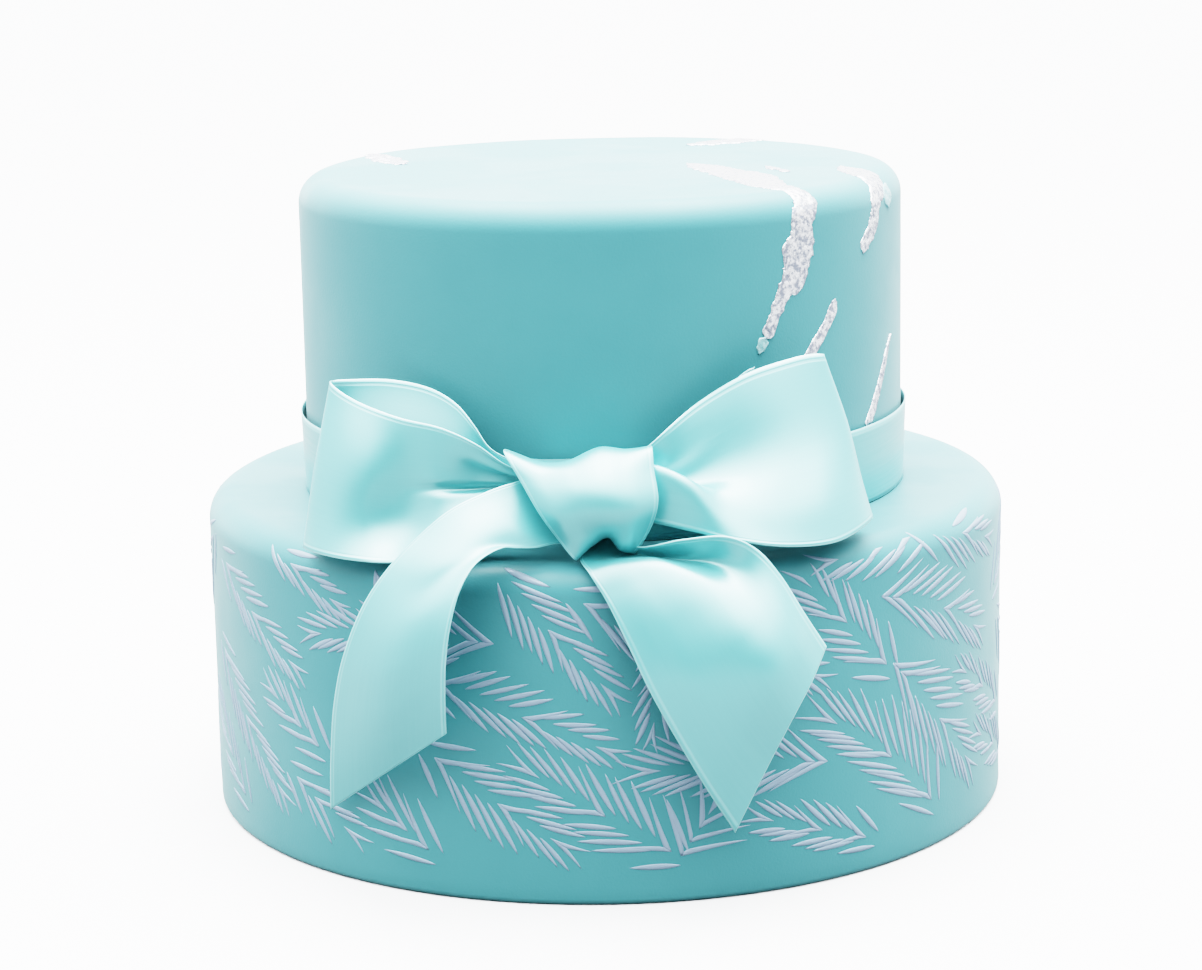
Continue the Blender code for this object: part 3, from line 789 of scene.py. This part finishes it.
@dataclass(frozen=True)
class SilverLeaf:
    """Shards of silver leaf pressed onto the upper tier.

    Attributes:
        tier: The tier that carries them.
        high: Mean height of the crumpled leaf off the paste.
        sunk: How far its underside reaches into the paste.
        least: Smallest half width.
        deepest: Deepest tear into a side.
        pitch: Distance between rows of points.
        across: Points over the width of a shard.
        seed: Start of the torn edges and crumples.
    """

    tier: Tier
    high: float = 0.26
    sunk: float = 0.25
    least: float = 0.2
    deepest: float = 1.1
    pitch: float = 0.36
    across: int = 19
    seed: int = 5

    def crumple(self, a: Array, b: Array, draw: np.random.Generator) -> Array:
        """Height of the crushed foil, from 0 to 1.

        Folded waves with random directions and lengths are added, each the absolute value
        of a bent sine, so that it has sharp valleys.
        """
        total = np.zeros_like(a)
        weight = 0.0
        for wavelength in (6.5, 4.6, 3.4, 2.6, 1.9, 1.4):
            turn, phase = draw.uniform(0.0, TAU, 2)
            share = wavelength**1.1
            phase_map = (a * math.cos(turn) + b * math.sin(turn)) * math.pi / wavelength + phase
            bent = phase_map + 0.9 * np.sin(0.7 * phase_map[:, :1] + 1.3 * b / wavelength + phase)
            total += share * np.abs(np.sin(bent))
            weight += share
        return total / weight

    def ragged(self, count: int, draw: np.random.Generator) -> Array:
        """Torn edge: noise of three lengths, from about -1 to 1."""
        place = np.linspace(0.0, 1.0, count)
        total = np.zeros(count)
        for share, knots in ((0.55, max(4, count // 12)), (0.4, max(6, count // 4)), (0.3, count // 2)):
            values = draw.uniform(-1.0, 1.0, knots)
            total += share * np.interp(place, np.linspace(0.0, 1.0, knots), values)
        return total

    def build(self, leaf: Leaf, material: Material) -> Piece:
        """Make the shards of one kind as closed, crumpled strips that reach into the paste."""
        draw = np.random.default_rng(self.seed)
        points, faces, start = [], [], 0
        for shard in (s for s in SHARDS if s.leaf is leaf):
            given = np.array(shard.stations, float)
            given[:, 0] = np.radians(given[:, 0])
            sized = np.column_stack([given[:, 0] * self.tier.local_radius(given[:, 1]), given[:, 1]])
            length = float(np.linalg.norm(np.diff(sized, axis=0), axis=1).sum())
            rows = max(14, int(length / self.pitch))
            line = through(given * np.array([self.tier.radius, 1.0, 1.0]), np.linspace(0.0, 1.0, rows))
            line[:, 0] /= self.tier.radius
            local = self.tier.local_radius(line[:, 1])
            ways = np.column_stack([np.gradient(line[:, 0]) * local, np.gradient(line[:, 1])])
            ways /= np.linalg.norm(ways, axis=1)[:, None]
            taper = np.clip(np.minimum(np.arange(rows), np.arange(rows)[::-1]) / 3.0, 0.25, 1.0)
            bite = np.minimum(shard.torn * line[:, 2], self.deepest)
            left, right = (taper * np.maximum(line[:, 2] + bite * self.ragged(rows, draw), self.least)
                           for _ in range(2))
            v = np.linspace(-1.0, 1.0, self.across)[None, :]
            half = np.where(v < 0.0, left[:, None], right[:, None])
            azimuth = line[:, :1] - ways[:, 1:] * half * v / local[:, None]
            down = line[:, 1:2] + ways[:, :1] * half * v
            dents = self.crumple(azimuth * local[:, None], down, draw)
            lip = 1.0 - np.abs(v) ** 6
            lift = self.high * (0.35 + 1.3 * dents) * (0.35 + 0.65 * lip)
            outer = self.tier.place(azimuth, down, lift)
            inner = self.tier.place(azimuth, down, -self.sunk)
            shell = np.concatenate([outer.reshape(-1, 3), inner.reshape(-1, 3)])
            points.append(shell)
            faces.append(closed_pair(rows, self.across)[:, ::-1] + start)
            start += len(shell)
        name = "silver_leaf_" + leaf.value
        return new_piece(name, np.concatenate(points), [np.concatenate(faces)], material)


# Ribbon

class Side(Enum):
    """Which way a fold stands off the ribbon."""

    RIDGE = 1.0
    VALLEY = -1.0


@dataclass(frozen=True)
class Fold:
    """A soft fold along a straight line on the strip.

    Attributes:
        start: Share along and share across where it begins.
        end: The same where it ends.
        depth: How far it stands off, in millimetres.
        width: How wide it is, in millimetres.
        side: Whether it rises or sinks.
        fade: Share of its length over which it dies out.
    """

    start: tuple[float, float]
    end: tuple[float, float]
    depth: float
    width: float
    side: Side = Side.VALLEY
    fade: float = 0.6

    def offset(self, u: Array, v: Array, size: tuple[float, float]) -> Array:
        """Distance off the surface: a bell across the line that dies out toward its end."""
        scale = np.array(size)
        a, b = np.array(self.start) * scale, np.array(self.end) * scale
        way = b - a
        length = max(float(np.linalg.norm(way)), 1e-6)
        way = way / length
        p, q = u * size[0] - a[0], v * size[1] - a[1]
        t = (p * way[0] + q * way[1]) / length
        off = -p * way[1] + q * way[0]
        inside = np.clip((t + 0.12) / 0.12, 0.0, 1.0) * np.clip((1.0 - t) / self.fade, 0.0, 1.0)
        ease = inside * inside * (3.0 - 2.0 * inside)
        return self.side.value * self.depth * np.exp(-((off / self.width) ** 2)) * ease


@dataclass(frozen=True)
class Dent:
    """A round soft dent in the ribbon.

    Attributes:
        centre: Share along and share across of its middle.
        depth: How far it sinks, in millimetres; less than 0 where it swells.
        reach: How wide it is along and across the strip, in millimetres.
    """

    centre: tuple[float, float]
    depth: float
    reach: tuple[float, float]

    def offset(self, u: Array, v: Array, size: tuple[float, float]) -> Array:
        """Distance off the surface: a bell both ways."""
        p = (u - self.centre[0]) * size[0] / self.reach[0]
        q = (v - self.centre[1]) * size[1] / self.reach[1]
        return -self.depth * np.exp(-(p * p + q * q))


@dataclass(frozen=True)
class Ribbon:
    """A length of satin ribbon that runs over rails.

    Attributes:
        node: The plain solid that it stands for.
        rails: Lines of points that run side by side along the strip, in millimetres.
        flat: Width and length of the flat strip, in millimetres.
        held: How the cloth is held; not used.
        rests_on: What it lies on or hangs from; not used.
        folds: Soft folds and dents added to the smooth surface.
        share: Share of the flat strip's rectangle that is cloth, less where its end is slant; not used.
        cut_end: Whether the strip ends in a visible cut.
        along: Points along the strip.
        across: Points across it.
        thick: Thickness of the cloth, in millimetres.
    """

    node: str
    rails: tuple[tuple[Point, ...], ...]
    flat: tuple[float, float]
    held: str
    rests_on: tuple[str, ...]
    folds: tuple[Fold | Dent, ...] = ()
    share: float = 1.0
    cut_end: bool = False
    along: int = 150
    across: int = 49
    thick: float = 0.34

    def surface(self) -> tuple[Array, Array]:
        """Grid of the ribbon's middle surface, and each point's place on the flat strip.

        Every rail is a smooth curve through its points. Across the strip, a second smooth
        curve runs through the rails, and each fold then moves the surface along its normal.
        """
        u = np.linspace(0.0, 1.0, self.along)
        v = np.linspace(0.0, 1.0, self.across)
        lines = np.stack([through(np.array(rail, float), u) for rail in self.rails])
        grid = np.stack([through(lines[:, j], v) for j in range(self.along)])
        width, length = self.flat
        uu, vv = np.meshgrid(u, v, indexing="ij")
        normal = surface_normals(grid)
        for fold in self.folds:
            grid = grid + normal * fold.offset(uu, vv, (length, width))[..., None]
        strip = np.stack([uu * length, vv * width], axis=-1)
        return grid, strip

    def build(self, material: Material) -> Piece:
        grid, strip = self.surface()
        piece = new_piece(self.node + "_satin", grid.reshape(-1, 3), [grid_quads(self.along, self.across)],
                          material, strip.reshape(-1, 2))
        shell = piece.modifiers.new("thickness", "SOLIDIFY")
        shell.thickness = MM * self.thick
        shell.offset = 0.0
        return piece


LOOP_LEFT = Ribbon(
    "bow_loop_left",
    (((-17, -89, 101.5), (-23.5, -90, 104.8), (-29.8, -89.5, 109.4), (-38, -86, 112.8), (-48.3, -81.2, 114.6),
      (-58, -75.8, 117.4), (-63.3, -72.8, 120.1), (-65.2, -71, 121.7), (-64.2, -69.8, 121.8),
      (-60.1, -69, 121.8), (-50.5, -69.6, 121.6), (-41.2, -72, 119.8), (-35, -75.2, 116.5),
      (-30.8, -79, 112), (-27, -82, 107), (-19, -84, 103)),
     ((-16, -89.5, 99), (-23.8, -89, 101), (-31, -87, 100), (-39.8, -87.4, 99.6), (-48, -85.6, 98.4),
      (-57, -86.2, 98.8), (-65.2, -80.6, 100.4), (-69.4, -75.2, 101.8), (-67.5, -72.8, 102.2),
      (-62, -74.5, 102), (-52, -76.5, 102), (-42, -78.5, 101.5), (-36, -80, 101),
      (-30, -81.5, 100), (-24, -83.5, 99), (-17, -85, 98)),
     ((-13.5, -91, 94), (-19, -92.5, 92.5), (-26, -94.5, 89.3), (-36, -96, 85.8), (-48.8, -95, 83.6),
      (-60.5, -91.4, 82.8), (-69, -84.2, 82.7), (-72.6, -77.6, 82.9), (-71.5, -74, 83.2),
      (-66, -70.5, 83.6), (-55, -70, 83.8), (-44, -72.5, 84), (-37, -76, 84.5),
      (-30, -80.5, 86), (-22, -84, 89), (-15.5, -86, 92))),
    (38.0, 118.0), "folded", ("bow_knot", "lower_tier"),
    folds=(Fold((0.03, 0.55), (0.3, 0.47), 1.8, 1.4), Fold((0.04, 0.66), (0.22, 0.8), 1.0, 2.6, Side.RIDGE),
           Fold((0.02, 0.2), (0.2, 0.16), 0.7, 2.4, Side.RIDGE),
           Dent((0.3, 0.74), 5.2, (10.5, 11.5))))

LOOP_RIGHT = Ribbon(
    "bow_loop_right",
    (((7, -87, 105), (11, -87, 108.4), (21.4, -82, 116.4), (33.1, -80.4, 123.1), (42, -78, 125.7),
      (49, -75, 126.7), (52.6, -73, 126.3), (51, -71.3, 125.2), (45, -71.5, 122.5), (36, -73, 117.5),
      (27, -76.5, 112), (19, -80, 107), (8.5, -83.5, 102.5)),
     ((6, -86, 100), (11.4, -86, 101), (20.5, -89.6, 99), (32, -90, 101.5), (43.5, -87.4, 105.5),
      (52, -82.2, 108.6), (58, -76, 110.1), (56.5, -73.2, 110), (50, -72.5, 109.5), (40, -74, 108),
      (29, -77.5, 105), (20, -81, 102), (8.5, -84, 99)),
     ((5, -92, 103), (11, -95.5, 104.8), (18.8, -97.8, 102), (28, -97, 95), (40, -96.4, 93),
      (52.4, -91.6, 94.3), (61.3, -80, 95.6), (60, -74, 95.5), (53.5, -72, 95.5), (43, -73.5, 95),
      (31, -77.5, 94.5), (21, -81.5, 94), (8.5, -85, 94)),
     ((5.5, -92.5, 91), (11.4, -96.6, 91.3), (20.5, -100, 89.8), (31, -101.3, 87.6), (42.5, -99.8, 85.8),
      (54, -95, 85.6), (63.3, -82, 88), (62, -73, 87.5), (55, -70.5, 86.5), (44, -73, 85.8),
      (32, -77.5, 86), (21, -82.5, 88), (8, -86.5, 90))),
    (38.0, 118.0), "folded", ("bow_knot", "lower_tier"),
    folds=(Dent((0.22, 0.34), -0.9, (14.0, 6.0)), Fold((0.03, 0.3), (0.24, 0.2), 0.5, 2.0)))

TAIL_LEFT = Ribbon(
    "bow_tail_left",
    (((-15.5, -92, 102.4), (-21, -95, 101.5), (-27, -97.2, 100), (-36, -100, 96.3), (-43.2, -101, 90.7),
      (-50.4, -102.5, 83.7), (-56.6, -102.3, 74.9), (-62.1, -99, 61.7), (-65.3, -93.6, 48.3),
      (-67.2, -87.6, 32.3), (-68.2, -82.2, 18.2)),
     ((-11.5, -94, 93.5), (-17.5, -98, 93), (-23.5, -102.5, 92.8), (-30.5, -106.3, 90.5), (-37.5, -109, 86),
      (-43.2, -110, 79.5), (-47.4, -111.6, 71.5), (-50.3, -111, 62), (-52, -107.6, 52),
      (-53, -102.6, 42), (-53.3, -97.2, 32)),
     ((-6.5, -94.5, 86.4), (-12, -98, 87.2), (-16.4, -100.8, 87), (-20.6, -103.8, 87.8), (-24, -107.5, 88.8),
      (-29.8, -112, 86.4), (-33.6, -115.6, 81), (-36, -117.8, 73), (-37.3, -117.4, 64),
      (-37.8, -114.8, 54.5), (-38, -111, 45.6))),
    (38.0, 112.0), "draped", ("bow_knot", "lower_tier"), share=0.72, cut_end=True)

TAIL_RIGHT = Ribbon(
    "bow_tail_right",
    (((-3.6, -93.5, 86), (-6.2, -99.4, 84), (-4, -105.5, 81.5), (-0.6, -108.8, 76.5), (3.8, -112, 67.8),
      (9.4, -114.4, 55.5), (20.7, -112.4, 33.8), (28.9, -107, 18.7)),
     ((-1.5, -93.5, 86.6), (-1.2, -99, 84), (2.5, -104.5, 84), (8.2, -108.4, 79.8), (14, -112.6, 71.5),
      (20.5, -116.2, 58.5), (28.5, -114.6, 44.8), (36.3, -109, 34.9)),
     ((0.5, -93.5, 87), (4, -98.2, 84), (10.5, -103.6, 84.6), (18, -107.2, 82), (25, -110.8, 76.5),
      (31, -114.6, 68.5), (37, -116.2, 59.5), (43, -112, 49.3)),
     ((1.5, -93.5, 87.3), (6.5, -97.6, 84.6), (16, -99.8, 83.4), (24.8, -101.5, 82.8), (31.5, -105.8, 80),
      (37, -110, 74), (42, -112, 65.6), (47, -109.2, 56)),
     ((2, -94.5, 87.8), (7.5, -100.5, 86.7), (18, -104.3, 89.2), (28, -104.6, 89.7), (34.6, -104, 86.6),
      (40.2, -104, 80), (45.5, -104.6, 71.2), (50.8, -102.6, 62.4))),
    (38.0, 90.0), "draped", ("bow_knot", "lower_tier"), share=0.85, cut_end=True)


@dataclass(frozen=True)
class Knot:
    """The ribbon wrapped over the middle of the bow.

    Attributes:
        net: Rows of points from the top of the wrap to its foot, each from left to right.
        rows: Points down the wrap.
        cols: Points across it.
        back: Where its flat back lies.
        back_top: Left, right and height of the back's upper edge.
        back_foot: The same of its lower edge.
    """

    net: tuple[tuple[Point, ...], ...] = (
        ((-18, -86, 105), (-13, -86, 103.5), (-8.5, -86, 104), (-1, -86, 106.5),
         (5, -86, 106), (9, -86, 105.5)),
        ((-23.6, -92.8, 108.7), (-14.5, -95, 105.7), (-9, -96.5, 106.2), (-1.1, -96, 109.2),
         (5, -95.5, 108.6), (11, -94, 109.2)),
        ((-19.8, -97.6, 102.3), (-13.4, -101, 101.5), (-7, -103.8, 102.3), (-1, -104.6, 103.3),
         (5, -102.8, 103.3), (11.4, -98, 104.4)),
        ((-15.3, -101.4, 94.9), (-11, -104.4, 95.5), (-6, -106, 96.3), (-0.5, -107, 96.8),
         (6, -105.6, 97), (12.2, -101.4, 97.5)),
        ((-11.2, -101.8, 89), (-8.2, -103.8, 90), (-4.5, -104.2, 91.3), (0.2, -104.7, 92),
         (5.3, -104, 91.5), (10.4, -100.2, 91)),
        ((-7.4, -101.5, 84.1), (-5.7, -101.2, 85.5), (-3.2, -100.7, 87.4), (0.4, -100.2, 89),
         (3.2, -100.8, 86.2), (6.8, -99, 85)),
        ((-6.5, -88, 84.6), (-4.5, -88, 85.2), (-2, -88, 86.2), (1, -88, 87), (3, -88, 86), (5.5, -88, 85)),
    )
    rows: int = 90
    cols: int = 70
    back: float = -79.6
    back_top: Point = (-15.0, 7.5, 103.5)
    back_foot: Point = (-5.5, 4.5, 86.0)

    def build(self, material: Material) -> Piece:
        """Make the knot as a closed cushion of ribbon: the wrapped front over a narrower back.

        The front is a smooth surface through the net, both ways. The back is a plain grid
        that tapers toward the foot, and the rims of the two are joined.
        """
        v = np.linspace(0.0, 1.0, self.cols)
        u = np.linspace(0.0, 1.0, self.rows)
        net = np.array(self.net, float)
        lines = np.stack([through(row, v) for row in net])
        front = through(lines, u)
        down, side = np.meshgrid(u, v, indexing="ij")
        left, right, height = (a + (b - a) * down for a, b in zip(self.back_top, self.back_foot))
        back = np.stack([left + (right - left) * side, np.full_like(down, self.back), height], axis=-1)
        points = np.concatenate([front.reshape(-1, 3), back.reshape(-1, 3)])
        wrap, width = 44.0, 38.0
        strip = np.tile(np.stack([down * wrap, side * width], axis=-1).reshape(-1, 2), (2, 1))
        return new_piece("bow_knot_satin", points, [closed_pair(self.rows, self.cols)], material, strip)


@dataclass(frozen=True)
class Band:
    """The narrower ribbon round the foot of the upper tier.

    Attributes:
        inner: Radius of its inner face.
        base: Height of its lower edge.
        width: Width of the ribbon.
        dip: How far it is pulled down under the bow.
        thick: Thickness of the cloth.
    """

    inner: float = 78.1
    base: float = 82.8
    width: float = 20.0
    dip: float = 1.6
    thick: float = 0.35

    def build(self, material: Material, around: int = 400) -> Piece:
        """Make the band as a closed thin ring.

        Its section is a tall thin loop carried round the tier. The radius swells by a slow
        wave, more at the top than at the bottom, and the top dips under the bow.
        """
        azimuth = np.linspace(0.0, TAU, around, endpoint=False)[None, :]
        rise = np.linspace(0.0, 1.0, 15)
        up = np.concatenate([rise, rise[::-1]])[:, None]
        out = np.concatenate([np.full(len(rise), self.thick), np.zeros(len(rise))])[:, None]
        under_bow = 0.6
        bow = np.exp(-((np.minimum(azimuth, TAU - azimuth) / under_bow) ** 2))
        wave = 0.22 + 0.16 * np.sin(4 * azimuth + 1.0) + 0.10 * np.sin(9 * azimuth)
        radius = self.inner + out + (0.25 + 0.75 * up) * wave + 0.35 * up * (1.0 - bow)
        z = self.base + up * (self.width - self.dip * bow)
        points = polar(radius, azimuth, z)
        faces = grid_quads(len(up), around, ring=True, tube=True)
        strip = np.stack(np.broadcast_arrays(azimuth * self.inner, up * self.width), axis=-1)
        return new_piece("ribbon_band_satin", points.reshape(-1, 3), [faces[:, ::-1]], material,
                         strip.reshape(-1, 2))


# Studio

@dataclass(frozen=True)
class Studio:
    """Plain pale floor, soft white light and the camera.

    Attributes:
        lens_px: Focal length in pixels of the picture.
        picture: Width of the picture in pixels.
        eye: Place of the camera in metres.
        pitch: How far it looks down, in degrees.
        roll: How far it leans, in degrees.
        front: Strength of the white behind the camera.
        side: Strength at the sides and behind the cake.
        above: Strength added overhead.
        screen: Strength added by the bright screen low behind the cake.
        backdrop: Strength of the white that the camera sees.
    """

    lens_px: float = 3087.0
    picture: float = 1202.0
    eye: Point = (-0.001, -0.7973, 0.2559)
    pitch: float = 12.487
    roll: float = 1.138
    front: float = 0.14
    side: float = 2.1
    above: float = 7.5
    screen: float = 1.2
    backdrop: float = 14.0

    def camera(self) -> None:
        """Set the camera at the photograph's viewing angle."""
        data = bpy.data.cameras.new("camera")
        data.sensor_width = 36.0
        data.lens = self.lens_px * 36.0 / self.picture
        data.clip_start, data.clip_end = 0.01, 50.0
        eye = bpy.data.objects.new("camera", data)
        look = Euler((math.radians(90.0 - self.pitch), 0.0, 0.0)).to_matrix()
        lean = Euler((0.0, 0.0, math.radians(-self.roll))).to_matrix()
        eye.rotation_euler = (look @ lean).to_euler()
        eye.location = self.eye
        bpy.context.scene.collection.objects.link(eye)
        bpy.context.scene.camera = eye

    def floor(self) -> None:
        """Lay a wide pale floor under the cake, which throws little light back up at it."""
        plain = Finish("floor_white", (0.19, 0.195, 0.20), {"Roughness": 0.7, "Specular IOR Level": 0.2})
        material, make, shader = plain.start()
        make.put(make.blend(make.seen(), plain.colour, (0.90, 0.91, 0.93)), shader.inputs["Base Color"])
        corners, reach = 96, 9000.0
        ring = polar(reach, np.linspace(0.0, TAU, corners, endpoint=False), 0.0)
        new_piece("floor", ring, [np.arange(corners)[None, :]], material)

    def sky(self) -> None:
        """Surround the cake with white: dim before it, bright at its sides, brightest overhead."""
        world = bpy.data.worlds.new("white_room")
        world.use_nodes = True
        make = Maker(world.node_tree)
        backing = world.node_tree.nodes["Background"]
        _, back, up = make.apart(make.place("Generated"))
        room = make.spread(back, -0.98, -0.19, self.front, self.side)
        above = make.spread(up, 0.4, 0.95, 0.0, self.above)
        low_behind = make.maths("MULTIPLY", make.spread(back, 0.1, 0.75), make.spread(up, 0.6, 0.2))
        strength = make.maths("MULTIPLY_ADD", low_behind, self.screen, make.maths("ADD", room, above))
        make.put((0.975, 1.0, 1.0), backing.inputs["Color"])
        make.put(make.spread(make.seen(), 0.0, 1.0, strength, self.backdrop), backing.inputs["Strength"])
        bpy.context.scene.world = world

    def lamp(self, name: str, place: Point, aim: Point, size: float, power: float) -> None:
        """Hang one large soft lamp, aimed at a point."""
        data = bpy.data.lights.new(name, "AREA")
        data.shape = "DISK"
        data.size = size
        data.energy = power
        lamp = bpy.data.objects.new(name, data)
        lamp.location = place
        gaze = np.array(aim) - np.array(place)
        lamp.rotation_euler = (math.atan2(math.hypot(gaze[0], gaze[1]), -gaze[2]), 0.0,
                               math.atan2(gaze[1], gaze[0]) - 0.5 * math.pi)
        bpy.context.scene.collection.objects.link(lamp)

    def build(self) -> None:
        """Set up the whole studio."""
        self.camera()
        self.floor()
        self.sky()
        self.lamp("top_light", (0.05, 0.12, 0.9), (0.0, 0.0, 0.1), 0.8, 22.0)
        view = bpy.context.scene.view_settings
        view.view_transform = "Filmic"
        view.look = "Very High Contrast"


# The cake

@dataclass(frozen=True)
class Cake:
    """The whole dressed cake."""

    lower: Tier = Tier("lower_tier", 104.0, 82.5, 0.0, phase=0.4)
    upper: Tier = Tier("upper_tier", 77.8, 80.9, 82.8, phase=2.1)

    def dress_tiers(self) -> None:
        """Cover both tiers in paste, with the stencil and the silver leaf."""
        grain, crumple = grain_group(), crumple_group()
        soft = {"IOR": 1.45, "Specular IOR Level": 0.22, "Sheen Weight": 0.12, "Sheen Roughness": 0.5,
                "Sheen Tint": COOL_WHITE, "Coat Weight": 0.05, "Coat Roughness": 0.4}
        paste = PasteFinish("aqua_paste", (0.064, 0.196, 0.219), soft, deep=(0.055, 0.177, 0.200))
        cover = paste.material(grain)
        seat(self.lower.build(cover), ["lower_tier"])
        seat(self.upper.build(cover), ["upper_tier"])
        pearl = PearlFinish("pearl_icing", (0.20, 0.26, 0.34), {"Metallic": 0.2, "Specular IOR Level": 0.25},
                            shadow=(0.20, 0.30, 0.38))
        seat(FernStencil(self.lower).build(pearl.material(grain)))
        silver = SilverLeaf(self.upper)
        bright = LeafFinish("silver_leaf_bright", (0.82, 0.83, 0.87), {"Metallic": 1.0}, (0.25, 0.27, 0.33))
        thin = LeafFinish("silver_leaf_thin", (0.34, 0.52, 0.55), {"Metallic": 0.35}, (0.22, 0.42, 0.45))
        seat(silver.build(Leaf.BRIGHT, bright.material(crumple)))
        seat(silver.build(Leaf.THIN, thin.material(crumple)))

    def dress_ribbon(self) -> None:
        """Tie the band and the bow."""
        satin = satin_group()
        silky = {"IOR": 2.1, "Metallic": 0.3, "Sheen Weight": 0.08, "Sheen Roughness": 0.35,
                 "Sheen Tint": COOL_WHITE, "Coat Weight": 0.1, "Coat Roughness": 0.3}
        # edge colours the woven edge line and the painted highlight along the free edges.
        colour, deep, edge = (0.098, 0.347, 0.37), (0.084, 0.317, 0.34), (0.25, 0.54, 0.56)

        def cloth(name: str, width: float, length: float = UNCUT) -> Material:
            """Satin of one width, cut at one length."""
            return SatinFinish(name, colour, silky, width, length, deep, edge).material(satin)

        band = seat(Band().build(cloth("band_satin", 20.0)), ["ribbon_band"])
        seat(Knot().build(cloth("knot_satin", 38.0)), ["bow_knot"])
        for ribbon in (LOOP_LEFT, LOOP_RIGHT, TAIL_LEFT, TAIL_RIGHT):
            length = ribbon.flat[1] if ribbon.cut_end else UNCUT
            piece = ribbon.build(cloth(ribbon.node + "_cloth", ribbon.flat[0], length))
            seat(piece, [ribbon.node])


def main() -> None:
    """Build the studio and the cake."""
    logging.basicConfig(level=logging.INFO, format="%(name)s: %(message)s")
    Studio().build()
    cake = Cake()
    cake.dress_tiers()
    cake.dress_ribbon()


if __name__ == "__main__":
    main()
